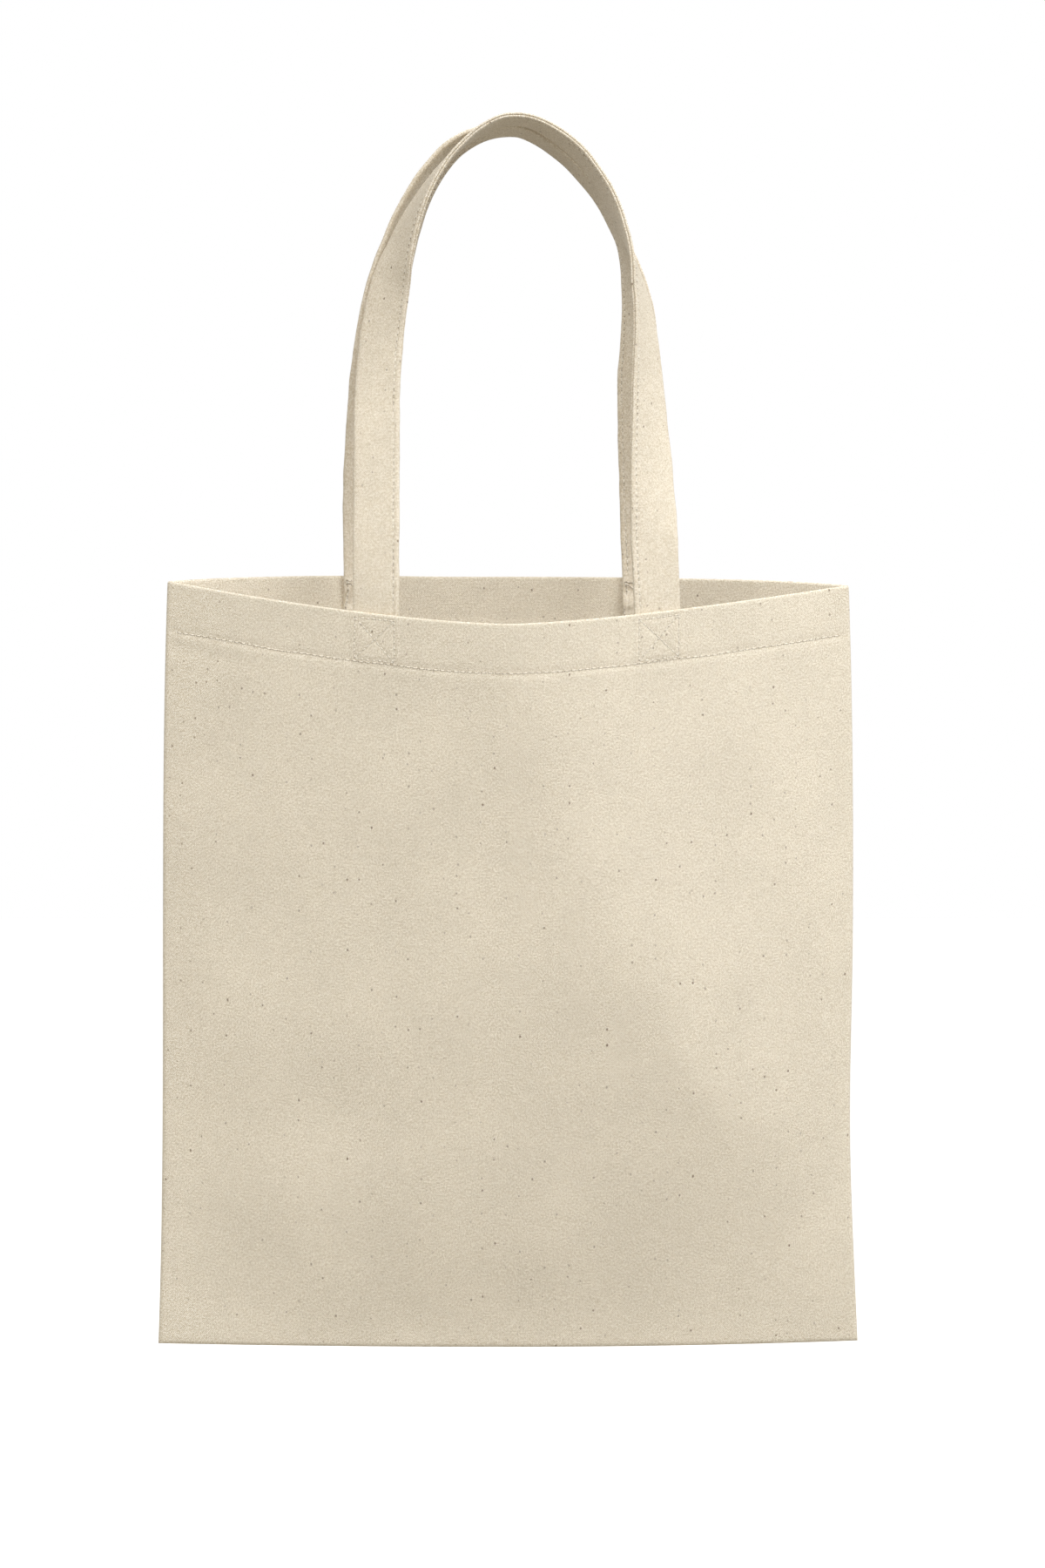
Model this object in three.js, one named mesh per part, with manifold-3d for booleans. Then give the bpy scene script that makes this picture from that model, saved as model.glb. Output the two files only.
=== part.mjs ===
// A canvas tote bag, hanging by its two handles.
// Millimetres, +Z up, +X to the right, the front panel faces -Y.
// The origin is where a peg carries the handles: midway between them, under their highest point.
import * as THREE from 'three';
import Module from 'manifold-3d';
import { mergeVertices } from 'three/addons/utils/BufferGeometryUtils.js';

const wasm = await Module();
wasm.setup();

// Cloth and thread
const canvas = 0.7; // one layer of canvas
const hemLayers = 2; // layers that the turned hem adds inside the panel
const strapLayers = 4; // layers of a folded handle
const thread = 0.5;
const gap = 0.3; // clearance between pieces that lie on each other

// Body of the bag
const bottomWidth = 381;
const mouthWidth = 371;
const bodyHeight = 415; // side seam, from the bottom to the mouth's corner
const mouthDrop = 247; // from the peg down to the mouth's corners
const mouthBow = 37; // how far the middle of each top edge stands off the side seams
const bellyBow = 26; // how far the belly of each panel stands off them
const bottomSag = 2;
const frontDip = 25.4; // how far the front top edge hangs below the corners
const backRise = 4.5; // how far the back top edge stands above them
const dipPower = 1.5;
const seamAllowance = 10;

// Hem and stitching
const hemDepth = 29;
const hemStitchDrop = 26.5; // from the top edge down to the hem's stitch line
const hemEndInset = 4; // the hem stops this far short of the side seam
const tackTopDrop = 3;
const tackToHemStitch = 1.4;
const tackInset = 2; // from the handle's edge in to the box of stitches
const edgeStitchInset = 3; // from the handle's edge in to its line of stitches

// Handles
const strapWidth = 25.4;
const handleGap = 1; // between the two handles where they lie side by side on the peg
const seatLength = 16; // flat stretch of each handle on the peg
const archHeight = 200; // from where a leg starts to lean in up to the peg
const archSide = 130; // how strongly the arch keeps upright at its foot
const archShoulder = 28; // how far the arch keeps level beyond the flat stretch
const strapSteps = 60;

// Each leg's twist: along the leg, 0 at the mouth and 1 at the peg, and the angle there in degrees.
// At the mouth a handle lies along its panel, and on the peg its width runs front to back.
const frontHandle = {
  centre: 4.7,
  spacing: 152.4,
  left: [[0.32, 10], [0.46, 25], [0.58, 46], [0.74, 72], [0.87, 90]],
  right: [[0.13, 10], [0.26, 35], [0.38, 53], [0.51, 66], [0.67, 90]],
};
const backHandle = {
  centre: -1.7,
  spacing: 155.4,
  left: [[0.5, 9], [0.74, 26], [0.85, 54], [0.96, 90]],
  right: [[0.36, 10], [0.5, 48], [0.6, 78], [0.7, 90]],
};

const FRONT = -1;
const BACK = 1;
const hemThickness = hemLayers * canvas;
const strapThickness = strapLayers * canvas;
const cornerZ = -mouthDrop;
const bottomZ = cornerZ - bodyHeight;
// The two panels' outer faces stand this far off the middle plane at the seams.
const seamHalf = canvas + gap + canvas;
const hemStart = canvas + gap; // depth of the hem's outer face, from the panel's outer face
const strapStart = hemStart + hemThickness + gap; // depth of a sewn handle end's outer face

// ---- the surface that both panels follow ----

function halfWidth(v) {
  return (bottomWidth + mouthWidth) / 4 + ((bottomWidth - mouthWidth) / 4) * (1 - 2 * v) ** 3;
}

function topEdgeZ(side, u) {
  const spread = 1 - Math.abs(u) ** dipPower;
  return side === FRONT ? cornerZ - frontDip * spread : cornerZ + backRise * spread;
}

function bottomEdgeZ(u) {
  return bottomZ - bottomSag * (1 - u * u);
}

function bowAt(v) {
  return bellyBow * (1 - (1 - v) ** 6) + (mouthBow - bellyBow) * v * v;
}

// A point on a panel's outer face: u runs from -1 at the left seam to 1 at the right one,
// v from 0 at the bottom seam to 1 at the top edge.
function facePoint(side, u, v) {
  const low = bottomEdgeZ(u);
  return new THREE.Vector3(
    u * halfWidth(v),
    side * (seamHalf + bowAt(v) * (1 - u * u)),
    low + v * (topEdgeZ(side, u) - low),
  );
}

function faceNormal(side, u, v) {
  const step = 0.004;
  const across = facePoint(side, u + step, v).sub(facePoint(side, u - step, v));
  const up = facePoint(side, u, v + step).sub(facePoint(side, u, v - step));
  return across.cross(up).normalize().multiplyScalar(-side);
}

// The same place, at a depth below the outer face; a depth below 0 stands proud of it.
function layerPoint(side, u, v, depth) {
  return facePoint(side, u, v).addScaledVector(faceNormal(side, u, v), -depth);
}

// A place on a panel given by its distance from the middle and down from the top edge.
function hemPoint(side, x, drop, depth) {
  const guess = x / halfWidth(1);
  const v = 1 - drop / (topEdgeZ(side, guess) - bottomEdgeZ(guess));
  return layerPoint(side, x / halfWidth(v), v, depth);
}

// The same place, moved up or down to stand a clearance above its panel's top edge.
function onTopEdge(side, place, above) {
  place.z = topEdgeZ(side, place.x / halfWidth(1)) + above;
  return place;
}

// ---- solids ----

// A closed sheet of cells across by cells along. pointAt(i, j, layer) gives its two faces.
function sheetSolid(across, along, pointAt) {
  const places = [];
  for (const layer of [0, 1]) {
    for (let j = 0; j <= along; j++) {
      for (let i = 0; i <= across; i++) {
        places.push(...pointAt(i / across, j / along, layer).toArray());
      }
    }
  }
  const at = (i, j, layer) => layer * (across + 1) * (along + 1) + j * (across + 1) + i;
  const faces = [];
  const quad = (a, b, c, d) => faces.push(a, b, c, a, c, d);
  for (let j = 0; j < along; j++) {
    for (let i = 0; i < across; i++) {
      quad(at(i, j, 0), at(i + 1, j, 0), at(i + 1, j + 1, 0), at(i, j + 1, 0));
      quad(at(i, j, 1), at(i, j + 1, 1), at(i + 1, j + 1, 1), at(i + 1, j, 1));
    }
  }
  for (let i = 0; i < across; i++) {
    quad(at(i, 0, 0), at(i, 0, 1), at(i + 1, 0, 1), at(i + 1, 0, 0));
    quad(at(i, along, 0), at(i + 1, along, 0), at(i + 1, along, 1), at(i, along, 1));
  }
  for (let j = 0; j < along; j++) {
    quad(at(0, j, 0), at(0, j + 1, 0), at(0, j + 1, 1), at(0, j, 1));
    quad(at(across, j, 0), at(across, j, 1), at(across, j + 1, 1), at(across, j + 1, 0));
  }
  return facingOut(places, faces);
}

// Six times the volume that the faces enclose: below 0 when they point inwards.
function signedVolume(places, faces) {
  const corner = (n) => new THREE.Vector3().fromArray(places, 3 * n);
  let volume = 0;
  for (let f = 0; f < faces.length; f += 3) {
    volume += corner(faces[f]).dot(corner(faces[f + 1]).cross(corner(faces[f + 2])));
  }
  return volume;
}

function facingOut(places, faces) {
  if (signedVolume(places, faces) < 0) faces.reverse();
  const geometry = new THREE.BufferGeometry();
  geometry.setAttribute('position', new THREE.Float32BufferAttribute(places, 3));
  geometry.setIndex(faces);
  return geometry;
}

function toManifold(geometry) {
  const merged = mergeVertices(geometry, 1e-4);
  return new wasm.Manifold(new wasm.Mesh({
    numProp: 3,
    vertProperties: merged.attributes.position.array,
    triVerts: new Uint32Array(merged.index.array),
  }));
}

function joined(geometries) {
  const whole = geometries.map(toManifold).reduce((sum, next) => sum.add(next)).getMesh();
  const geometry = new THREE.BufferGeometry();
  geometry.setAttribute('position', new THREE.BufferAttribute(whole.vertProperties, 3));
  geometry.setIndex(new THREE.BufferAttribute(whole.triVerts, 1));
  return geometry;
}

// ---- panels, hems and seams ----

function panel(side) {
  return sheetSolid(28, 22, (i, j, layer) => layerPoint(side, 2 * i - 1, j, layer * canvas));
}

function hem(side) {
  const reach = 1 - (2 * hemEndInset) / mouthWidth;
  const foot = 1 - hemDepth / bodyHeight;
  return sheetSolid(28, 3, (i, j, layer) => {
    const depth = hemStart + layer * hemThickness;
    const place = layerPoint(side, (2 * i - 1) * reach, foot + (1 - foot) * j, depth);
    return j === 1 ? onTopEdge(side, place, 0) : place;
  });
}

// The raw edges of both panels, turned into the bag between them, from the bottom to the hems.
function sideAllowance(hand) {
  const top = 1 - hemDepth / bodyHeight - 0.02;
  return sheetSolid(1, 16, (i, j, layer) => {
    const place = facePoint(FRONT, hand, top * j);
    return new THREE.Vector3(
      place.x - hand * i * seamAllowance,
      (layer - 0.5) * 2 * canvas,
      place.z,
    );
  });
}

// A strip along the bottom seam, from one height above the bottom edge to another. Its ends stop
// this far in from the side seams.
function bottomStrip(from, to, inset) {
  return sheetSolid(24, 1, (i, j, layer) => {
    const height = from + j * (to - from);
    const reach = halfWidth(height / bodyHeight) - inset;
    const across = 2 * i - 1;
    return new THREE.Vector3(
      across * reach,
      (layer - 0.5) * 2 * canvas,
      bottomEdgeZ(across) + height,
    );
  });
}

function bottomAllowance() {
  return bottomStrip(0, seamAllowance, seamAllowance + thread + 2 * gap);
}

// Overlock thread round the raw inner edge of a side allowance.
function sideOverlock(hand) {
  const foot = (seamAllowance + thread + 2 * gap) / bodyHeight;
  const top = 1 - hemDepth / bodyHeight - 0.02;
  return sheetSolid(1, 16, (i, j, layer) => {
    const place = facePoint(FRONT, hand, foot + (top - foot) * j);
    return new THREE.Vector3(
      place.x - hand * (seamAllowance + gap + i * thread),
      (layer - 0.5) * 2 * canvas,
      place.z,
    );
  });
}

function bottomOverlock() {
  const foot = seamAllowance + gap;
  return bottomStrip(foot, foot + thread, seamAllowance + 2 * thread + 4 * gap);
}

// ---- stitching on the panels ----

// One straight run of thread on a panel's outer face, from one place to another.
// A place is its distance from the middle and down from the top edge.
function threadRun(side, from, to, steps) {
  const run = new THREE.Vector2(to[0] - from[0], to[1] - from[1]);
  const across = new THREE.Vector2(-run.y, run.x).setLength(thread);
  return sheetSolid(1, steps, (i, j, layer) => hemPoint(
    side,
    from[0] + run.x * j + across.x * (i - 0.5),
    from[1] + run.y * j + across.y * (i - 0.5),
    -gap - layer * thread * 0.6,
  ));
}

function hemStitching(side) {
  const end = mouthWidth / 2 - hemEndInset;
  return threadRun(side, [-end, hemStitchDrop], [end, hemStitchDrop], 40);
}

// The box and its cross, sewn through the panel, the hem and the handle's end.
function tackStitching(side, x) {
  const left = x - strapWidth / 2 + tackInset;
  const right = x + strapWidth / 2 - tackInset;
  const top = tackTopDrop;
  const foot = hemStitchDrop - tackToHemStitch;
  const over = thread / 2;
  return joined([
    threadRun(side, [left - over, top], [right + over, top], 4),
    threadRun(side, [left - over, foot], [right + over, foot], 4),
    threadRun(side, [left, top], [left, foot], 4),
    threadRun(side, [right, top], [right, foot], 4),
    threadRun(side, [left, top], [right, foot], 6),
    threadRun(side, [left, foot], [right, top], 6),
  ]);
}

// ---- handles ----

function handleEnd(side, x) {
  const foot = Math.min(hemDepth - tackInset, hemStitchDrop);
  return sheetSolid(3, 3, (i, j, layer) => {
    const depth = strapStart + layer * strapThickness;
    const place = hemPoint(side, x + (i - 0.5) * strapWidth, foot * (1 - j), depth);
    return j === 1 ? onTopEdge(side, place, 0) : place;
  });
}

function smooth(t) {
  const c = Math.min(1, Math.max(0, t));
  return c * c * (3 - 2 * c);
}

// The middle line of a handle, from its left foot over the peg to its right foot.
function handlePath(side, handle) {
  const half = handle.spacing / 2;
  const middle = strapThickness / 2;
  const depth = strapStart + middle;
  const path = new THREE.CurvePath();
  const seat = seatLength / 2;
  const flat = (x, z) => new THREE.Vector3(handle.centre + x, 0, z + middle);
  const foot = (hand) => {
    const place = hemPoint(side, handle.centre + hand * half, 0, depth);
    place.y = 0;
    return onTopEdge(side, place, gap);
  };
  const arch = [
    flat(-half, -archHeight),
    flat(-half, archSide - archHeight),
    flat(-seat - archShoulder, 0),
    flat(-seat, 0),
  ];
  const mirror = (p) => new THREE.Vector3(2 * handle.centre - p.x, 0, p.z);
  path.add(new THREE.LineCurve3(foot(-1), arch[0]));
  path.add(new THREE.CubicBezierCurve3(...arch));
  path.add(new THREE.LineCurve3(arch[3], mirror(arch[3])));
  path.add(new THREE.CubicBezierCurve3(...arch.map(mirror).reverse()));
  path.add(new THREE.LineCurve3(mirror(arch[0]), foot(1)));
  return path;
}

// Twist at a share of the leg's length, smoothly through the leg's own places.
function twistAt(places, atFoot, share) {
  const knots = [[0, atFoot], ...places, [1, 90]];
  const last = knots.findIndex((knot, n) => n > 0 && share <= knot[0]);
  const n = last < 0 ? knots.length - 1 : last;
  const [from, to] = [knots[n - 1], knots[n]];
  const slope = (a, b) => (b[1] - a[1]) / Math.max(1e-6, b[0] - a[0]);
  const meet = (a, b, c) => (a && c ? Math.min(slope(a, b), slope(b, c)) : 0);
  const length = to[0] - from[0];
  const t = length > 0 ? (share - from[0]) / length : 1;
  const startSlope = meet(knots[n - 2], from, to) * length;
  const endSlope = meet(from, to, knots[n + 1]) * length;
  const t2 = t * t;
  const t3 = t2 * t;
  return from[1] * (2 * t3 - 3 * t2 + 1) + startSlope * (t3 - 2 * t2 + t)
    + to[1] * (3 * t2 - 2 * t3) + endSlope * (t3 - t2);
}

// Where along the handle its rings stand: closer on the arch, and one at each end of the flat seat.
function ringShares(path) {
  const lengths = path.getCurveLengths();
  const whole = lengths[lengths.length - 1];
  const marks = [0, lengths[0], lengths[1], lengths[2], lengths[3], whole].map((l) => l / whole);
  const shares = [];
  for (let n = 1; n < marks.length; n++) {
    const steps = Math.max(1, Math.round((marks[n] - marks[n - 1]) * strapSteps));
    for (let k = 0; k < steps; k++) shares.push(marks[n - 1] + ((marks[n] - marks[n - 1]) * k) / steps);
  }
  return [...shares, 1];
}

// The rings of a handle: its middle, and the directions of its width and of its thickness.
function handleRings(side, handle) {
  const path = handlePath(side, handle);
  const depth = strapStart + strapThickness / 2;
  const onPeg = (strapWidth + handleGap) / 2;
  return ringShares(path).map((share) => {
    const hand = share < 0.5 ? -1 : 1;
    const up = 1 - Math.abs(2 * share - 1);
    const footX = handle.centre + (hand * handle.spacing) / 2;
    const footPlace = hemPoint(side, footX, 0, depth);
    const inward = hemPoint(side, footX - hand, 0, depth).sub(footPlace);
    const atFoot = THREE.MathUtils.radToDeg(Math.atan2(Math.abs(inward.y), Math.abs(inward.x)));
    const twist = THREE.MathUtils.degToRad(twistAt(hand < 0 ? handle.left : handle.right, atFoot, up));
    const middle = path.getPointAt(share);
    middle.y = THREE.MathUtils.lerp(footPlace.y, side * onPeg, smooth(up));
    const along = path.getTangentAt(share);
    const inside = new THREE.Vector3(along.z, 0, -along.x);
    const width = inside.multiplyScalar(Math.cos(twist));
    width.y += side * Math.sin(twist);
    width.normalize();
    return { middle, width, depth: along.cross(width).normalize() };
  });
}

// A band on the handle, through a row of distances across its width and between two through its
// thickness. Its feet are cut to follow the top edge of the panel.
function handleBand(side, rings, across, through) {
  const last = rings.length - 1;
  const cells = across.length - 1;
  return sheetSolid(cells, last, (i, j, layer) => {
    const ring = rings[Math.round(j * last)];
    const place = ring.middle.clone()
      .addScaledVector(ring.width, across[Math.round(i * cells)])
      .addScaledVector(ring.depth, through[layer]);
    return j === 0 || j === 1 ? onTopEdge(side, place, gap) : place;
  });
}

// Both sides of the line of stitches near a handle's inner edge.
const edgeStitchSides = [0.5, -0.5].map((n) => strapWidth / 2 - edgeStitchInset - n * thread);

function strap(side, rings) {
  const across = [-strapWidth / 2, 0, ...edgeStitchSides, strapWidth / 2];
  return handleBand(side, rings, across, [-strapThickness / 2, strapThickness / 2]);
}

// The line of stitches along a handle's inner edge, on the face that lies upward on the peg.
function edgeStitching(side, rings) {
  const near = side * (strapThickness / 2 + gap);
  return handleBand(side, rings, edgeStitchSides, [near, near + side * thread * 0.6]);
}

// ---- the whole bag ----

const cottonFinish = { roughness: 0.92, metalness: 0 };
const clothMaterial = new THREE.MeshStandardMaterial({ color: 0xdfd3bc, ...cottonFinish });
const strapMaterial = new THREE.MeshStandardMaterial({ color: 0xd8cab0, ...cottonFinish });
const threadMaterial = new THREE.MeshStandardMaterial({ color: 0xe9e0cd, ...cottonFinish });

const bag = new THREE.Group();

function addMesh(name, geometry, material) {
  const mesh = new THREE.Mesh(geometry, material);
  mesh.name = name;
  bag.add(mesh);
}

for (const [name, side, handle] of [['front', FRONT, frontHandle], ['back', BACK, backHandle]]) {
  const rings = handleRings(side, handle);
  addMesh(`${name}_panel`, panel(side), clothMaterial);
  addMesh(`${name}_hem`, hem(side), clothMaterial);
  addMesh(`${name}_hem_stitching`, hemStitching(side), threadMaterial);
  addMesh(`${name}_handle`, strap(side, rings), strapMaterial);
  addMesh(`${name}_handle_stitching`, edgeStitching(side, rings), threadMaterial);
  for (const [hand, offset] of [['left', -0.5], ['right', 0.5]]) {
    const x = handle.centre + offset * handle.spacing;
    addMesh(`${name}_${hand}_handle_end`, handleEnd(side, x), strapMaterial);
    addMesh(`${name}_${hand}_tack_stitching`, tackStitching(side, x), threadMaterial);
  }
}
for (const [name, hand] of [['left', -1], ['right', 1]]) {
  addMesh(`${name}_seam_allowance`, sideAllowance(hand), clothMaterial);
  addMesh(`${name}_overlock_thread`, sideOverlock(hand), threadMaterial);
}
addMesh('bottom_seam_allowance', bottomAllowance(), clothMaterial);
addMesh('bottom_overlock_thread', bottomOverlock(), threadMaterial);

export default bag;
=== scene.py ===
import math

import bpy
import numpy as np
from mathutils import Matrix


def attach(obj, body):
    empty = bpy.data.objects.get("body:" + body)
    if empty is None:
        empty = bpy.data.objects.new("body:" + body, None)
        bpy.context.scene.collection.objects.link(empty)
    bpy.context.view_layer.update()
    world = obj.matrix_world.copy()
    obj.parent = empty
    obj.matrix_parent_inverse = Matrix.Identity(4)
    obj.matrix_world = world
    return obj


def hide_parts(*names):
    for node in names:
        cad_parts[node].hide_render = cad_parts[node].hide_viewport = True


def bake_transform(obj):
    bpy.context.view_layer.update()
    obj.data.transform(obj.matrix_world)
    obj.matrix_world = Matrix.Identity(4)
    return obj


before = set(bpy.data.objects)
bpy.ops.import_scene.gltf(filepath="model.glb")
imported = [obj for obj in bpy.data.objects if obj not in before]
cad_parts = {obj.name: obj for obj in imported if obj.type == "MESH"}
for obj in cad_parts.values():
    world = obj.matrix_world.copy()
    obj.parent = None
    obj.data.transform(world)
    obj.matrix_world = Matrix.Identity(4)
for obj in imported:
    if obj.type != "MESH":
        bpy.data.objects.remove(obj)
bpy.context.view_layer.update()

# A canvas tote bag, hanging by its two handles.
# The shapes are worked out in millimetres, as the pattern is drawn, and MM makes them metres.
# +Z is up, +X is to the right along the mouth, and the front panel faces -Y.
MM = 0.001
FRONT, BACK = -1, 1
SIDE_NAME = {FRONT: "front", BACK: "back"}

# Cloth and thread
CANVAS = 0.7
HEM_FOLD = 1.2  # radius of the turned top edge
STRAP_THICK = 2.8
THREAD = 0.55
GAP = 0.3

# Body of the bag
BOTTOM_WIDTH = 381
MOUTH_WIDTH = 371
MIDDLE_HALF = (BOTTOM_WIDTH + MOUTH_WIDTH) / 4  # half of the width at mid height
HEM_HALF = 186  # half of the width at the hem
CORNER_Z = -247
BODY_HEIGHT = 415
BOTTOM_Z = CORNER_Z - BODY_HEIGHT
MOUTH_BOW = 37
BELLY_BOW = 26
BELLY_REACH = 105  # height above the bottom seam at which most of the bow is reached
BELLY_POWER = 1.6  # above 1, the bow starts slowly at the bottom seam
BOTTOM_SAG = 2
RIGHT_LIFT = 1.5  # how far the bottom's right corner stands above its left one
SIDE_PULL = 2  # how far the right side draws in below its middle
PULL_AT = 0.28  # where it draws in most, as a share of the height
PULL_SPREAD = 0.13
FRONT_DIP = 25.4  # how far the middle of the front edge hangs below the corners
DIP_POWER = 1.5
BACK_RISE = 5  # how far the middle of the back edge stands above the corners
RIGHT_SAG = 2.3  # how far the mouth's right corner hangs below its left one
SEAM_HALF = 1.7
SEAM_ROLL = 2.4  # radius of the cloth as it turns into a seam
SEAM_GROOVE = 0.12
RIDGE_START = -272  # height of the front panel's soft ridge at the mouth
RIDGE_SOFTNESS = 0.075

# Hem and stitching
HEM_DEPTH = 29
HEM_STITCH_DROP = 26.5
TACK_TOP = 3
TACK_FOOT = 25.1
TACK_INSET = 2
EDGE_STITCH_INSET = 3
STITCH_PITCH = 3.7
HEM_STITCH_REACH = 178.5  # the hem's stitch line runs this far to each side
OVERLOCK_REACH = 5.0  # from a seam in to the overlock thread

# Handles
STRAP_WIDTH = 25.4
STRAP_DEPTH = 4.1  # from a panel's outer face in to the middle of a sewn handle end
ON_PEG = 0.15  # from the middle plane to the folded edge of each strap, on the peg
SEAT = 3  # half of the level stretch on the peg
PEG_SHARE = 0.62  # the share of a leg by which the strap has drawn in to the other handle
BARE_END = 31  # the edge stitching starts this far from each sewn end

# Each leg of a strap rises straight from its foot to "rise", leans in as if towards "lean", and comes
# level "shoulder" before the seat. Its twist is given along the leg, from 0 at the mouth to 1 at the
# peg, as an angle: 0 lies along the panel and 90 has its width from front to back.
HANDLES = {
    "front": {
        "centre": 4.7,
        "spacing": 152.4,
        "peak": 3,
        "left": {
            "rise": (74, -161),
            "lean": (75, -28),
            "shoulder": 12,
            "twist": [(0.24, 9), (0.36, 12), (0.48, 18), (0.58, 27), (0.68, 53), (0.78, 72), (0.88, 83)],
        },
        "right": {
            "rise": (72, -126),
            "lean": (68, -26),
            "shoulder": 16,
            "twist": [
                (0.12, 7),
                (0.24, 22),
                (0.36, 41),
                (0.48, 56),
                (0.58, 71),
                (0.68, 90),
                (0.78, 98),
                (0.88, 97),
            ],
        },
    },
    "back": {
        "centre": -1.7,
        "spacing": 155.4,
        "peak": 1,
        "left": {
            "rise": (80, -205),
            "lean": (75, -58),
            "shoulder": 42,
            "twist": [(0.36, 10), (0.48, 18), (0.58, 34), (0.68, 52), (0.78, 67), (0.88, 77)],
        },
        "right": {
            "rise": (70, -131),
            "lean": (78, -30),
            "shoulder": 8,
            "twist": [(0.12, 12), (0.24, 20), (0.36, 30), (0.48, 44), (0.58, 64), (0.68, 84), (0.88, 87)],
        },
    },
}


# ---- node trees ----


class Nodes:
    """Builds a node tree: adds nodes, and joins what they give to what they take."""

    def __init__(self, tree):
        self.tree = tree

    def add(self, kind, **settings):
        node = self.tree.nodes.new(kind)
        for key, value in settings.items():
            setattr(node, key, value)
        return node

    def feed(self, socket, value):
        if isinstance(value, bpy.types.NodeSocket):
            self.tree.links.new(value, socket)
        else:
            socket.default_value = value

    def sum_up(self, kind, operation, values):
        node = self.add(kind, operation=operation)
        for socket, value in zip(node.inputs, values):
            self.feed(socket, value)
        return node.outputs[0]

    def math(self, operation, *values):
        return self.sum_up("ShaderNodeMath", operation, values)

    def vector(self, operation, *values):
        return self.sum_up("ShaderNodeVectorMath", operation, values)

    def combine(self, x, y, z):
        node = self.add("ShaderNodeCombineXYZ")
        for socket, value in zip(node.inputs, (x, y, z)):
            self.feed(socket, value)
        return node.outputs[0]

    def noise(self, vector, scale, detail=2.0, roughness=0.5):
        node = self.add("ShaderNodeTexNoise")
        self.feed(node.inputs["Vector"], vector)
        node.inputs["Scale"].default_value = scale
        node.inputs["Detail"].default_value = detail
        node.inputs["Roughness"].default_value = roughness
        return node.outputs[0]

    def ramp(self, value, low, high, to_low=0.0, to_high=1.0):
        node = self.add("ShaderNodeMapRange", clamp=True, interpolation_type="SMOOTHSTEP")
        for name, entry in (
            ("Value", value),
            ("From Min", low),
            ("From Max", high),
            ("To Min", to_low),
            ("To Max", to_high),
        ):
            self.feed(node.inputs[name], entry)
        return node.outputs[0]

    def mix(self, share, a, b, blend="MIX"):
        node = self.add("ShaderNodeMix", data_type="RGBA", blend_type=blend)
        self.feed(node.inputs["Factor"], share)
        colours = [s for s in node.inputs if s.type == "RGBA"]
        self.feed(colours[0], a)
        self.feed(colours[1], b)
        return next(s for s in node.outputs if s.type == "RGBA")


def linear(red, green, blue):
    """A colour given from 0 to 255, as the shader wants it."""
    def one(c):
        c /= 255
        return c / 12.92 if c <= 0.04045 else ((c + 0.055) / 1.055) ** 2.4

    return (one(red), one(green), one(blue), 1.0)


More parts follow.
